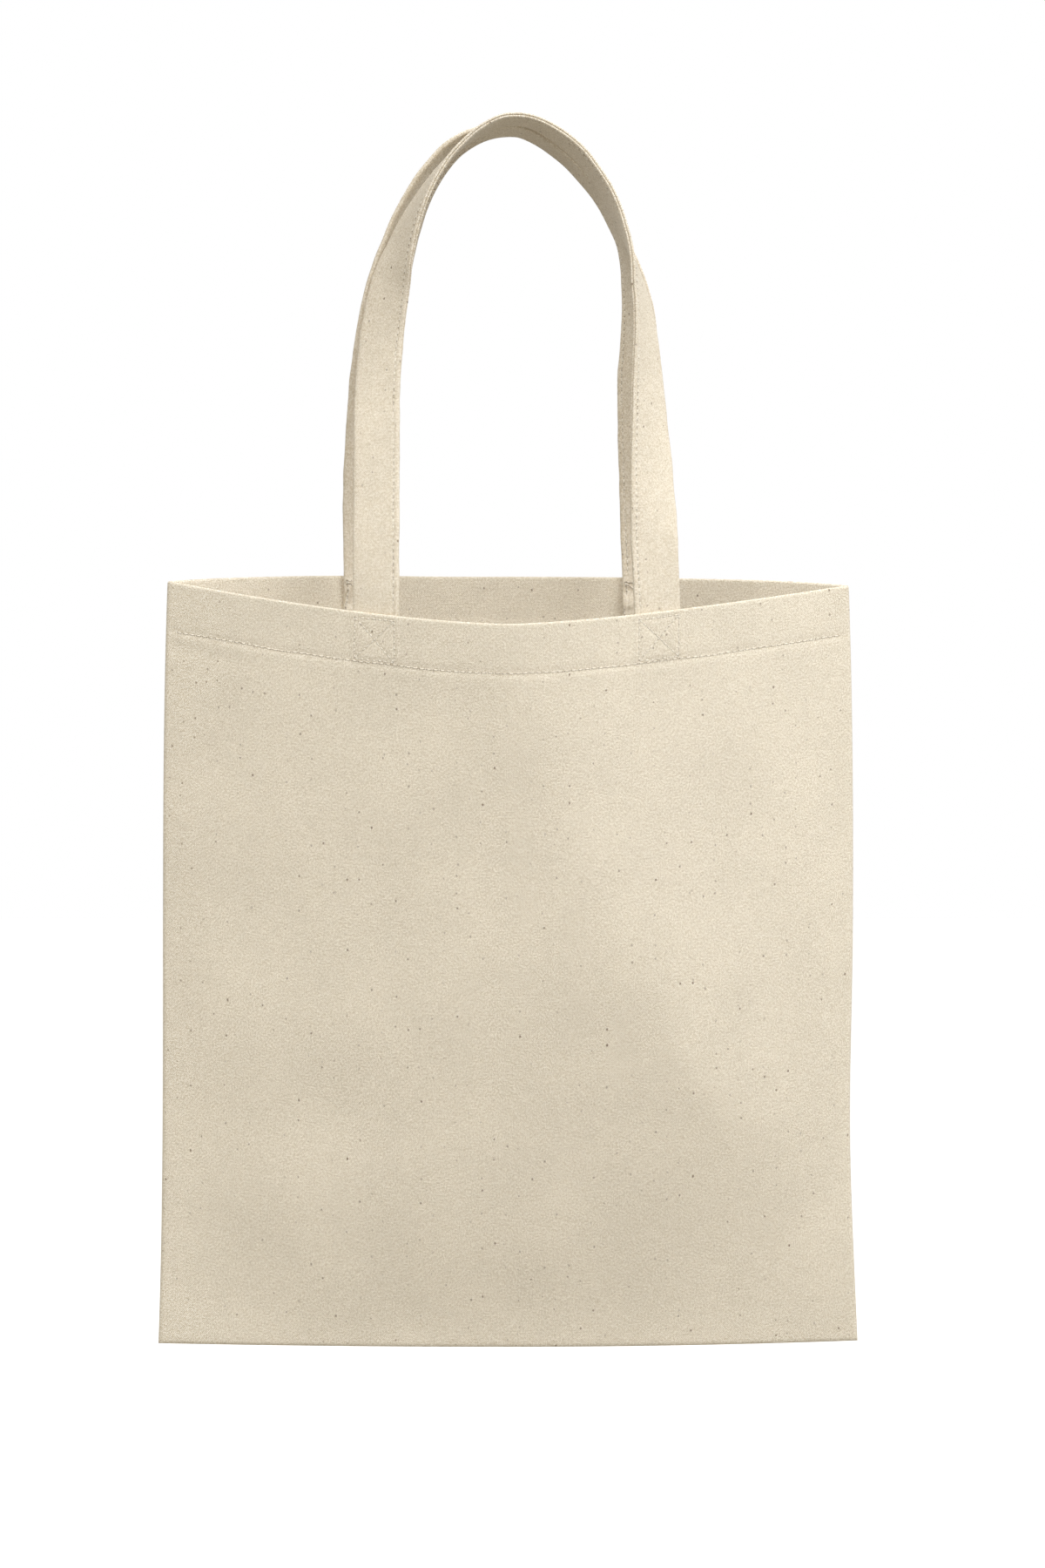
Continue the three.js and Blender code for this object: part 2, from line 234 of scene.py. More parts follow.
def weave_group():
    """Plain-woven cotton: Height for its threads, Tone for their uneven colour, Fleck for bits of seed
    husk and Cloud for faint patches."""
    tree = bpy.data.node_groups.new("plain_weave", "ShaderNodeTree")
    face = tree.interface
    face.new_socket("Cloth", in_out="INPUT", socket_type="NodeSocketVector")
    for name, value in (("Warp Pitch", 0.00046), ("Weft Pitch", 0.00062), ("Slub", 1.0), ("Grain", 3.2)):
        socket = face.new_socket(name, in_out="INPUT", socket_type="NodeSocketFloat")
        socket.default_value = value
    for name in ("Height", "Tone", "Fleck", "Cloud"):
        face.new_socket(name, in_out="OUTPUT", socket_type="NodeSocketFloat")
    n = Nodes(tree)
    given = n.add("NodeGroupInput").outputs
    out = n.add("NodeGroupOutput").inputs
    cloth = given["Cloth"]
    part = n.add("ShaderNodeSeparateXYZ")
    n.feed(part.inputs[0], cloth)
    meander = n.math("MULTIPLY", n.math("SUBTRACT", n.noise(cloth, 160, 3), 0.5), 0.9)
    warp = n.math("ADD", n.math("DIVIDE", part.outputs[0], given["Warp Pitch"]), meander)
    weft = n.math("ADD", n.math("DIVIDE", part.outputs[1], given["Weft Pitch"]), meander)
    over = n.math("SINE", n.math("MULTIPLY", warp, math.pi))
    under = n.math("SINE", n.math("MULTIPLY", weft, math.pi))
    crossing = n.math("MULTIPLY", over, under)
    crown = n.math("POWER", n.math("ABSOLUTE", crossing), 0.5)
    height = n.math("ADD", n.math("MULTIPLY", crown, 0.6), n.math("MULTIPLY", crossing, 0.4))
    thick_warp = n.noise(n.vector("MULTIPLY", cloth, (2000.0, 210.0, 1.0)), 1.0, 1.5)
    thick_weft = n.noise(n.vector("MULTIPLY", cloth, (180.0, 1500.0, 1.0)), 1.0, 1.5)
    slub = n.math("MULTIPLY", n.math("SUBTRACT", n.math("ADD", thick_warp, thick_weft), 1.0), given["Slub"])
    n.feed(out["Height"], n.math("ADD", height, n.math("MULTIPLY", slub, 0.8)))
    fine = n.noise(n.vector("MULTIPLY", cloth, (1850.0, 1300.0, 1.0)), 1.0, 1.0, 0.6)
    grain = n.math("SUBTRACT", fine, 0.5)
    uneven = n.math("ADD", n.math("MULTIPLY", slub, 0.3), n.math("MULTIPLY", grain, given["Grain"]))
    tone = n.math("ADD", 0.5, n.math("ADD", uneven, n.math("MULTIPLY", crossing, 0.3)))
    n.feed(out["Tone"], tone)
    cells = n.add("ShaderNodeTexVoronoi", feature="F1", voronoi_dimensions="2D")
    n.feed(cells.inputs["Vector"], n.vector("MULTIPLY", cloth, (1.0, 0.7, 1.0)))
    cells.inputs["Scale"].default_value = 150
    chance = n.add("ShaderNodeSeparateXYZ")
    n.feed(chance.inputs[0], cells.outputs["Color"])
    size = n.math("MULTIPLY", n.math("POWER", chance.outputs[0], 2.6), 0.08)
    speck = n.ramp(n.math("SUBTRACT", size, cells.outputs["Distance"]), -0.01, 0.012)
    depth = n.math("ADD", 0.3, n.math("MULTIPLY", chance.outputs[1], 0.7))
    n.feed(out["Fleck"], n.math("MULTIPLY", speck, depth))
    wide_patches = n.math("MULTIPLY", n.noise(cloth, 22, 3), 0.6)
    small_patches = n.math("MULTIPLY", n.noise(cloth, 210, 2), 0.4)
    n.feed(out["Cloud"], n.math("ADD", wide_patches, small_patches))
    return tree


def canvas_material(name, light, dark, warp, weft):
    """Natural cotton canvas. Its pattern follows the cloth attribute, the place on the flat cloth."""
    material = bpy.data.materials.new(name)
    material.use_nodes = True
    n = Nodes(material.node_tree)
    shader = material.node_tree.nodes["Principled BSDF"]
    place = n.add("ShaderNodeAttribute", attribute_name="cloth")
    group = n.add("ShaderNodeGroup", node_tree=weave)
    n.feed(group.inputs["Cloth"], place.outputs["Vector"])
    group.inputs["Warp Pitch"].default_value = warp
    group.inputs["Weft Pitch"].default_value = weft
    threads = n.mix(n.ramp(group.outputs["Tone"], 0.0, 1.0), dark, light)
    cloud = n.ramp(group.outputs["Cloud"], 0.3, 0.7, 0.955, 1.035)
    clouded = n.mix(1.0, threads, n.combine(cloud, cloud, cloud), "MULTIPLY")
    husk = n.mix(n.math("MULTIPLY", group.outputs["Fleck"], 0.85), clouded, linear(104, 76, 44))
    n.feed(shader.inputs["Base Color"], husk)
    rough = n.ramp(group.outputs["Height"], 0.0, 1.0, 0.97, 0.86)
    n.feed(shader.inputs["Roughness"], rough)
    shader.inputs["Specular IOR Level"].default_value = 0.2
    shader.inputs["Sheen Weight"].default_value = 0.12
    shader.inputs["Sheen Roughness"].default_value = 0.6
    bump = n.add("ShaderNodeBump")
    bump.inputs["Strength"].default_value = 0.55
    bump.inputs["Distance"].default_value = 0.00022
    n.feed(bump.inputs["Height"], group.outputs["Height"])
    n.feed(shader.inputs["Normal"], bump.outputs[0])
    return material


def thread_material(name, light, dark):
    """Spun cotton thread, with painted shade at each stitch's ends, where they dive into their needle
    holes.
    """
    material = bpy.data.materials.new(name)
    material.use_nodes = True
    n = Nodes(material.node_tree)
    shader = material.node_tree.nodes["Principled BSDF"]
    tip = n.add("ShaderNodeAttribute", attribute_name="tip")
    place = n.add("ShaderNodeTexCoord")
    fuzz = n.noise(place.outputs["Object"], 900, 3)
    colour = n.mix(n.ramp(fuzz, 0.3, 0.7), n.mix(0.25, light, dark), light)
    # painted shade: each stitch's ends darken towards the dark colour where the thread sinks into the
    # cloth's needle holes
    hole_shade = n.ramp(tip.outputs["Fac"], 0.42, 0.85)
    n.feed(shader.inputs["Base Color"], n.mix(hole_shade, colour, dark))
    n.feed(shader.inputs["Roughness"], n.ramp(fuzz, 0.2, 0.8, 0.95, 0.8))
    shader.inputs["Specular IOR Level"].default_value = 0.2
    bump = n.add("ShaderNodeBump")
    bump.inputs["Strength"].default_value = 0.4
    bump.inputs["Distance"].default_value = 0.0001
    n.feed(bump.inputs["Height"], n.noise(place.outputs["Object"], 3200, 2))
    n.feed(shader.inputs["Normal"], bump.outputs[0])
    return material


weave = weave_group()
canvas = canvas_material(
    "natural_canvas", linear(247, 239, 223), linear(205, 191, 166), warp=0.00046, weft=0.00062
)
strap_canvas = canvas_material(
    "strap_canvas", linear(237, 228, 212), linear(208, 194, 169), warp=0.0005, weft=0.00066
)
# the dark colour is mostly painted shade at the needle holes; a quarter of it also tints the thread's fuzz
cotton_thread = thread_material("cotton_thread", linear(247, 240, 226), linear(104, 82, 54))


# ---- small tools for shapes ----


def smooth(t):
    c = np.clip(t, 0, 1)
    return c * c * (3 - 2 * c)


def bell(distance, width):
    return np.exp(-0.5 * (distance / width) ** 2)


def drift(x, seed, longest, count=5):
    """A slow uneven wave along x, between about -1 and 1, from waves down to a quarter of the longest."""
    dice = np.random.default_rng(seed)
    total = 0
    for k in range(count):
        length = longest / (1 + 3 * k / count) * dice.uniform(0.85, 1.15)
        total = total + np.sin(2 * math.pi * x / length + dice.uniform(0, 2 * math.pi)) / (1 + k * 0.5)
    return total / 2.2


def unit(v):
    return v / np.maximum(1e-9, np.linalg.norm(v, axis=-1, keepdims=True))


def face_outwards(points, faces):
    """The faces, turned round if they enclose a volume below 0."""
    volume = 0.0
    for size in (3, 4):
        same = np.array([f for f in faces if len(f) == size])
        for k in range(1, size - 1):
            if len(same):
                a, b, c = points[same[:, 0]], points[same[:, k]], points[same[:, k + 1]]
                volume += float(np.einsum("ij,ij->i", a, np.cross(b, c)).sum())
    return faces if volume > 0 else [tuple(reversed(f)) for f in faces]


def make_piece(name, points, faces, material, cloth):
    """A mesh piece from points in mm, with the place of each point on the flat cloth."""
    mesh = bpy.data.meshes.new(name)
    mesh.from_pydata((points * MM).tolist(), [], face_outwards(points, faces))
    layer = mesh.attributes.new("cloth", "FLOAT_VECTOR", "POINT")
    layer.data.foreach_set("vector", (cloth * MM).astype(np.float32).ravel())
    mesh.materials.append(material)
    mesh.polygons.foreach_set("use_smooth", [True] * len(mesh.polygons))
    mesh.update()
    piece = bpy.data.objects.new(name, mesh)
    bpy.context.scene.collection.objects.link(piece)
    return piece


def sheet_faces(outer, inner):
    """The faces of a closed sheet from the point numbers of its two sides, rows by columns. Where the two
    sides share a point, the sheet closes there."""
    faces = []

    def patch(a, b, c, d):
        corners = []
        for p in (a, b, c, d):
            if p not in corners:
                corners.append(int(p))
        if len(corners) > 2:
            faces.append(tuple(corners))

    rows, columns = outer.shape
    for j in range(rows - 1):
        for i in range(columns - 1):
            patch(outer[j, i], outer[j, i + 1], outer[j + 1, i + 1], outer[j + 1, i])
            patch(inner[j, i], inner[j + 1, i], inner[j + 1, i + 1], inner[j, i + 1])
    for i in range(columns - 1):
        patch(outer[0, i], inner[0, i], inner[0, i + 1], outer[0, i + 1])
        patch(outer[-1, i], outer[-1, i + 1], inner[-1, i + 1], inner[-1, i])
    for j in range(rows - 1):
        patch(outer[j, 0], outer[j + 1, 0], inner[j + 1, 0], inner[j, 0])
        patch(outer[j, -1], inner[j, -1], inner[j + 1, -1], outer[j + 1, -1])
    return faces


def tube_faces(number):
    """The faces of a closed tube from its point numbers, ring by ring, with a cap on each end."""
    count, around = number.shape
    faces = []
    for j in range(count - 1):
        for i in range(around):
            beside = (i + 1) % around
            ring = (number[j, i], number[j, beside], number[j + 1, beside], number[j + 1, i])
            faces.append(tuple(int(p) for p in ring))
    for j, turn in ((0, 1), (count - 1, -1)):
        for i in range(around // 2):
            corners = []
            for p in (i, i + 1, around - i - 1, (around - i) % around):
                if int(number[j, p]) not in corners:
                    corners.append(int(number[j, p]))
            faces.append(tuple(corners[::-turn]))
    return faces


# ---- the two panels ----


def half_width(v):
    spread = (BOTTOM_WIDTH - MOUTH_WIDTH) / 4
    return MIDDLE_HALF + spread * (1 - 2 * v) ** 3


def side_x(u, v):
    """A place across the bag. The right side draws in a little where the cloth hangs fullest."""
    return u * half_width(v) - SIDE_PULL * np.maximum(u, 0) * bell(v - PULL_AT, PULL_SPREAD)


def top_edge_z(side, u):
    right = np.maximum(u, 0)
    if side == FRONT:
        return CORNER_Z - FRONT_DIP * (1 - np.abs(u) ** DIP_POWER) - RIGHT_SAG * right**3
    return CORNER_Z + BACK_RISE * (1 - u**4) - RIGHT_SAG * right


def bottom_edge_z(u):
    return BOTTOM_Z - BOTTOM_SAG * (1 - u * u) + RIGHT_LIFT * np.maximum(u, 0) ** 2


def bow_at(v):
    """The bow of each panel's middle. It stays narrow just above the bottom seam."""
    belly = BELLY_BOW * (1 - np.exp(-((v * BODY_HEIGHT / BELLY_REACH) ** BELLY_POWER)))
    return belly + (MOUTH_BOW - BELLY_BOW) * v * v


def seam_turn(distance):
    """0 at a seam, rising to 1 where the cloth has come round out of it."""
    t = np.clip(1 - distance / SEAM_ROLL, 0, 1)
    return np.sqrt(1 - t * t)


def front_fullness(u, v, z):
    """How the front panel stands across its width: two flat planes that meet in a soft ridge, from the
    middle of the mouth down towards the right bottom corner."""
    below = RIDGE_START - z
    ridge = np.clip((9 + 0.2 * below + 0.00075 * below**2) / MIDDLE_HALF, -0.1, 0.62)
    soft = RIDGE_SOFTNESS
    left = (1 + u) / (1 + ridge)
    right = (1 - u) / (1 - ridge)
    tent = -soft * np.log(np.exp(-left / soft) + np.exp(-right / soft))
    tent = tent + soft * np.log(1 + np.exp(-2 / soft))
    share = 0.5 * smooth((v - 0.05) / 0.3)
    return (1 - share) * (1 - u * u) + share * 1.12 * tent


def tack_groove(x, drop):
    """1 along the box and cross that are sewn through a handle's end, falling to 0 beside them."""
    half = STRAP_WIDTH / 2 - TACK_INSET
    middle = (TACK_TOP + TACK_FOOT) / 2
    reach = (TACK_FOOT - TACK_TOP) / 2
    down = drop - middle
    box = np.abs(np.maximum(np.abs(x) / half, np.abs(down) / reach) - 1) * half
    cross = np.abs(np.abs(x) - np.abs(down) * half / reach) * 0.7
    inside = smooth(half + 1 - np.abs(x)) * smooth(reach + 1 - np.abs(down))
    return np.maximum(bell(box, 0.7), bell(cross, 0.7) * inside)


def cloth_shape(side, x, u, v, z, drop):
    """How far the cloth stands proud of its even bow, in mm."""
    # slow waves, which die out towards the seams
    inside = smooth((1 - np.abs(u)) / 0.1) * smooth(v / 0.06)
    slow = 0.6 * drift(x + 0.35 * z, 11 + side, 240) + 0.5 * drift(z - 0.2 * x, 23 + side, 260)
    shape = slow * inside
    # the hem's stitch line pulls the cloth in, unevenly
    stitched = -0.32 * bell(drop - HEM_STITCH_DROP, 1.5) + 0.16 * bell(drop - HEM_DEPTH - 1.5, 1.8)
    pull = drift(x, 5 + side, 34, 6) * 0.22 * np.exp(-np.abs(drop - HEM_STITCH_DROP) / 7)
    shape = shape + (stitched + pull) * smooth((1 - np.abs(u)) / 0.03)
    # the handle ends behind the hem press it out, and their stitches hold it down
    for foot in handle_feet(SIDE_NAME[side]):
        over = smooth((STRAP_WIDTH / 2 + 1.2 - np.abs(x - foot)) / 2.2) * smooth((28 - drop) / 2)
        shape = shape + 0.3 * over - 0.3 * tack_groove(x - foot, drop)
    if side == FRONT:
        # fuller just above the bottom seam, with a crease under the hem at the left
        belly = 1.2 * bell(x + 15, 62) * bell(z + 607, 24)
        crease = -0.5 * bell(drop - 35 - 0.02 * (x + 185), 2.6) * smooth((-128 - x) / 40)
        return shape + (belly + crease) * smooth((1 - np.abs(u)) / 0.02)
    # the back edge of the mouth waves a little
    waves = 2.0 * np.sin(2 * math.pi * (x + 57) / 135) * np.exp(-np.maximum(drop, 0) / 130)
    return shape + waves * smooth((1 - np.abs(u)) / 0.35)


def handle_feet(name):
    handle = HANDLES[name]
    return [handle["centre"] + hand * handle["spacing"] / 2 for hand in (-1, 1)]


def panel_point(side, u, v):
    low, high, width = bottom_edge_z(u), top_edge_z(side, u), half_width(v)
    x = side_x(u, v)
    z = low + v * (high - low)
    drop = (1 - v) * (high - low)
    turn = seam_turn((1 - np.abs(u)) * width) * seam_turn(z - low)
    full = front_fullness(u, v, z) if side == FRONT else 1 - u * u
    y = SEAM_GROOVE + (SEAM_HALF - SEAM_GROOVE) * turn + bow_at(v) * full
    y = y + cloth_shape(side, x, u, v, z, drop)
    return np.stack([x, side * np.maximum(y, SEAM_GROOVE), z], -1)


def panel_layer(side, u, v, depth):
    """Points at a depth below a panel's outer face, and the way the face looks there."""
    step = 0.0006
    ua, ub = np.clip(u - step, -1, 1), np.clip(u + step, -1, 1)
    va, vb = np.maximum(v - step, 0), v + step
    across = panel_point(side, ub, v) - panel_point(side, ua, v)
    up = panel_point(side, u, vb) - panel_point(side, u, va)
    out = unit(np.cross(across, up)) * -side
    points = panel_point(side, u, v) - out * np.asarray(depth)[..., None]
    points[..., 1] = side * np.maximum(side * points[..., 1], SEAM_GROOVE * 0.7)
    return points, out


def on_hem(side, x, drop, depth):
    """A place on a panel by its distance from the middle and down from the top edge."""
    x, drop = np.broadcast_arrays(np.asarray(x, float), np.asarray(drop, float))
    guess = x / half_width(1)
    v = 1 - drop / (top_edge_z(side, guess) - bottom_edge_z(guess))
    return panel_layer(side, x / half_width(v), v, np.broadcast_to(np.asarray(depth, float), x.shape))


def panel_columns(feet):
    """Places across a panel: close together in the seams' turns and where the handles are sewn on."""
    turned = (1 - np.cos(np.linspace(0, math.pi / 2, 7))) * SEAM_ROLL / MIDDLE_HALF
    right = 1 - turned
    even = np.linspace(-right[-1], right[-1], 2001)
    off = [STRAP_WIDTH / 2 + 4 - np.abs(even * HEM_HALF - foot) for foot in feet]
    close = 1 + 1.6 * sum(smooth(distance / 4) for distance in off)
    run = np.concatenate([[0], np.cumsum((close[1:] + close[:-1]) / 2)])
    middle = np.interp(np.linspace(0, run[-1], 241), run, even)
    return np.concatenate([-right[:-1], middle, right[:-1][::-1]])


def build_panel(name, side):
    """One panel and its turned hem in one sheet: up the outside, over the top edge and down inside."""
    columns = panel_columns(handle_feet(SIDE_NAME[side]))
    height = BODY_HEIGHT
    hem_rows = 30
    roll = (1 - np.cos(np.linspace(0, math.pi / 2, 6))) * SEAM_ROLL
    face = np.linspace(roll[-1], height - HEM_DEPTH - 0.6, 128)[1:-1]
    rows = []  # in each row: height and depth below the outer face, for the outside and for the inside
    for h in np.concatenate([roll, face]):
        rows.append((h, 0.0, h, CANVAS))
    outer_hem = np.linspace(HEM_DEPTH + 0.6, HEM_FOLD, hem_rows)
    ledge = [(29.6, 0.7), (29.2, 0.8), (29.0, 1.25), (28.9, 1.8), (28.6, 2.2), (28.0, 2.38)]
    inner_hem = ledge + [(d, 2 * HEM_FOLD) for d in np.linspace(27, HEM_FOLD, hem_rows - len(ledge))]
    for drop, (inner_drop, depth) in zip(outer_hem, inner_hem):
        rows.append((height - drop, 0.0, height - inner_drop, depth))
    for turn in np.linspace(0, math.pi / 2, 6)[1:]:
        drop = HEM_FOLD * (1 - math.sin(turn))
        reach = HEM_FOLD * math.cos(turn)
        rows.append((height - drop, HEM_FOLD - reach, height - drop, HEM_FOLD + reach))
    sides = []
    for where, deep in ((0, 1), (2, 3)):
        h = np.array([r[where] for r in rows])[:, None]
        depth = np.array([r[deep] for r in rows])[:, None]
        u = np.broadcast_to(columns[None, :], (len(rows), len(columns)))
        span = top_edge_z(side, u) - bottom_edge_z(u)
        near_top = h > height - HEM_DEPTH - 0.7
        reached = (height - h) / span
        low_share = (height - HEM_DEPTH - 0.6) / height
        hem_share = 1 - (HEM_DEPTH + 0.6) / span
        body = np.where(h < 2 * SEAM_ROLL, h / span, h / (height * low_share) * hem_share)
        v = np.where(near_top, 1 - reached, body)
        points, _ = panel_layer(side, u, v, np.broadcast_to(depth, u.shape))
        sides.append(points)
    outer, inner = sides
    middle = len(columns) // 2
    count = outer.shape[0] * outer.shape[1]
    number = np.arange(count).reshape(outer.shape[:2])
    inside = number + count
    inside[-1] = number[-1]
    points = np.concatenate([outer.reshape(-1, 3), inner[:-1].reshape(-1, 3)])
    flat = []
    for grid, sign in ((outer, -1), (inner, 1)):
        steps = np.linalg.norm(np.diff(grid, axis=1), axis=-1)
        run = np.concatenate([np.zeros((len(grid), 1)), np.cumsum(steps, axis=1)], axis=1)
        run = run - run[:, middle : middle + 1]
        along = sign * (top_edge_z(side, columns)[None, :] - grid[:, :, 2])
        flat.append(np.stack([run, along, np.full_like(run, 90.0 * side)], -1))
    cloth = np.concatenate([flat[0].reshape(-1, 3), flat[1][:-1].reshape(-1, 3)])
    return make_piece(name, points, sheet_faces(number, inside), canvas, cloth)


# ---- the handles ----


def twist_at(places, at_foot, share):
    """A handle's turn at a share of its leg, in degrees, smoothly through the leg's own places."""
    knots = [(0, at_foot), *places, (1, 90)]
    n = next((k for k in range(1, len(knots)) if share <= knots[k][0]), len(knots) - 1)
    start, end = knots[n - 1], knots[n]

    def slope(a, b):
        return (b[1] - a[1]) / max(1e-6, b[0] - a[0])

    def meet(a, b, c):
        return min(slope(a, b), slope(b, c)) if a and c else 0.0

    length = end[0] - start[0]
    t = (share - start[0]) / length if length > 0 else 1.0
    first = meet(knots[n - 2] if n > 1 else None, start, end) * length
    last = meet(start, end, knots[n + 1] if n + 1 < len(knots) else None) * length
    t2, t3 = t * t, t * t * t
    return (
        start[1] * (2 * t3 - 3 * t2 + 1)
        + first * (t3 - 2 * t2 + t)
        + end[1] * (3 * t2 - 2 * t3)
        + last * (t3 - t2)
    )


def bezier(a, b, c, d, count=160):
    t = np.linspace(0, 1, count)[:, None]
    a, b, c, d = (np.array(p, float) for p in (a, b, c, d))
    return (1 - t) ** 3 * a + 3 * (1 - t) ** 2 * t * b + 3 * (1 - t) * t * t * c + t**3 * d


def handle_line(name, side):
    """The middle line of a handle's free part as points on its arch, x and z, from foot to foot."""
    handle = HANDLES[name]
    middle = STRAP_THICK / 2
    legs = []
    for hand, which, foot_x in zip((-1, 1), ("left", "right"), handle_feet(name)):
        leg = handle[which]
        place, _ = on_hem(side, foot_x, 0, STRAP_DEPTH)
        foot = (place[0], top_edge_z(side, place[0] / half_width(1)) + GAP)
        arch = [leg["rise"], leg["lean"], (SEAT + leg["shoulder"], middle), (SEAT, middle)]
        legs.append([foot, *bezier(*[(handle["peak"] + hand * x, z) for x, z in arch])])
    left, right = legs
    return np.array(left + right[::-1])


def resample(line, count):
    run = np.concatenate([[0], np.cumsum(np.linalg.norm(np.diff(line, axis=0), axis=1))])
    at = np.linspace(0, run[-1], count)
    return np.stack([np.interp(at, run, line[:, k]) for k in range(line.shape[1])], -1)


def handle_rings(name, side):
    """Middle, width way and thickness way of each ring of a strap, through both of its sewn ends.
    The width way points to the stitched edge."""
    handle = HANDLES[name]
    flat_line = resample(handle_line(name, side), 540)
    share = np.linspace(0, 1, len(flat_line))
    up = 1 - np.abs(2 * share - 1)
    tangent = unit(np.gradient(flat_line, axis=0))
    middles, widths = [], []
    feet = {}
    for hand, x in zip((-1, 1), handle_feet(name)):
        place, _ = on_hem(side, x, 0, STRAP_DEPTH)
        inward = on_hem(side, x - hand, 0, STRAP_DEPTH)[0] - place
        feet[hand] = (place[1], math.degrees(math.atan2(abs(inward[1]), abs(inward[0]))))
    for k in range(len(flat_line)):
        hand = -1 if share[k] < 0.5 else 1
        foot_y, at_foot = feet[hand]
        turn = math.radians(twist_at(handle["left" if hand < 0 else "right"]["twist"], at_foot, up[k]))
        beside = side * (STRAP_WIDTH / 2 * abs(math.sin(turn)) + ON_PEG)
        y = foot_y + (beside - foot_y) * float(smooth(up[k] / PEG_SHARE))
        middles.append((flat_line[k, 0], y, flat_line[k, 1]))
        widths.append(
            (
                tangent[k, 1] * math.cos(turn),
                side * math.sin(turn),
                -tangent[k, 0] * math.cos(turn),
            )
        )
    middles, widths = np.array(middles), np.array(widths)
    drops = np.linspace(HEM_STITCH_DROP, 0.8, 27)
    for hand, x in zip((-1, 1), handle_feet(name)):
        place, _ = on_hem(side, np.full(27, float(x)), drops, STRAP_DEPTH)
        inward = unit(on_hem(side, np.full(27, float(x - hand)), drops, STRAP_DEPTH)[0] - place)
        if hand < 0:
            middles, widths = np.concatenate([place, middles]), np.concatenate([inward, widths])
        else:
            middles = np.concatenate([middles, place[::-1]])
            widths = np.concatenate([widths, inward[::-1]])
    for _ in range(6):
        middles[1:-1] = (middles[:-2] + 2 * middles[1:-1] + middles[2:]) / 4
        widths[1:-1] = (widths[:-2] + 2 * widths[1:-1] + widths[2:]) / 4
    along = unit(np.gradient(middles, axis=0))
    widths = unit(widths - along * np.sum(widths * along, axis=1, keepdims=True))
    thick = unit(np.cross(along, widths))
    run = np.concatenate([[0], np.cumsum(np.linalg.norm(np.diff(middles, axis=0), axis=1))])
    return {"middle": middles, "width": widths, "thick": thick, "run": run}


# Half of a strap's cross-section, from its stitched edge to its folded edge: place across and height
STRAP_HALF = [
    (11.7, 0.0),
    (12.35, 0.16),
    (12.68, 0.5),
    (12.6, 0.95),
    (12.15, 1.27),
    (11.3, 1.38),
    (10.4, 1.34),
    (9.9, 1.12),
    (9.5, 1.1),
    (9.0, 1.3),
    (8.0, 1.42),
    (5.5, 1.46),
    (2.5, 1.47),
    (-1.0, 1.46),
    (-4.5, 1.44),
    (-7.5, 1.42),
    (-10.0, 1.38),
    (-11.5, 1.26),
    (-12.3, 0.98),
    (-12.65, 0.55),
    (-12.7, 0.0),
]


def strap_place(rings, k, across, height):
    """Points on a strap in ring numbers k, at places across it and heights off its middle."""
    return (
        rings["middle"][k]
        + rings["width"][k] * np.asarray(across)[..., None]
        + rings["thick"][k] * np.asarray(height)[..., None]
    )


def build_strap(name, side, rings):
    half = np.array(STRAP_HALF)
    section = np.concatenate([half, half[-2:0:-1] * (1, -1)])
    count, around = len(rings["run"]), len(section)
    run = rings["run"]
    seed = 40 + side
    free = smooth((run - 30) / 25) * smooth((run[-1] - 30 - run) / 25)
    wander = 0.25 * drift(run, seed, 90) * free
    pinch = 0.5 + 0.5 * np.cos(2 * math.pi * run / STITCH_PITCH)
    points = np.zeros((count, around, 3))
    for i, (across, height) in enumerate(section):
        edge = abs(across) / (STRAP_WIDTH / 2)
        wave = 0.22 * drift(run, seed + 1 + (across > 0), 60) * free * edge**2
        near_stitch = bell(across - 9.7, 0.9)
        level = height + np.sign(height) * 0.3 * (1 - pinch) * near_stitch
        level = level + wander * 0.6 + wave
        widen = across + 0.2 * drift(run, seed + 5 + (across > 0), 45) * edge**3 * free
        points[:, i] = (
            rings["middle"] + rings["width"] * widen[:, None] + rings["thick"] * level[:, None]
        )
    faces = tube_faces(np.arange(count * around).reshape(count, around))
    # its own part of the cloth's pattern, with the two faces side by side
    flat = np.zeros((count, around, 3))
    flat[..., 0] = section[:, 0] + 14 * (section[:, 1] < 0)
    flat[..., 1] = run[:, None]
    flat[..., 2] = 300 + 70 * side
    return make_piece(f"{name}_strap", points.reshape(-1, 3), faces, strap_canvas, flat.reshape(-1, 3))


# ---- stitches ----


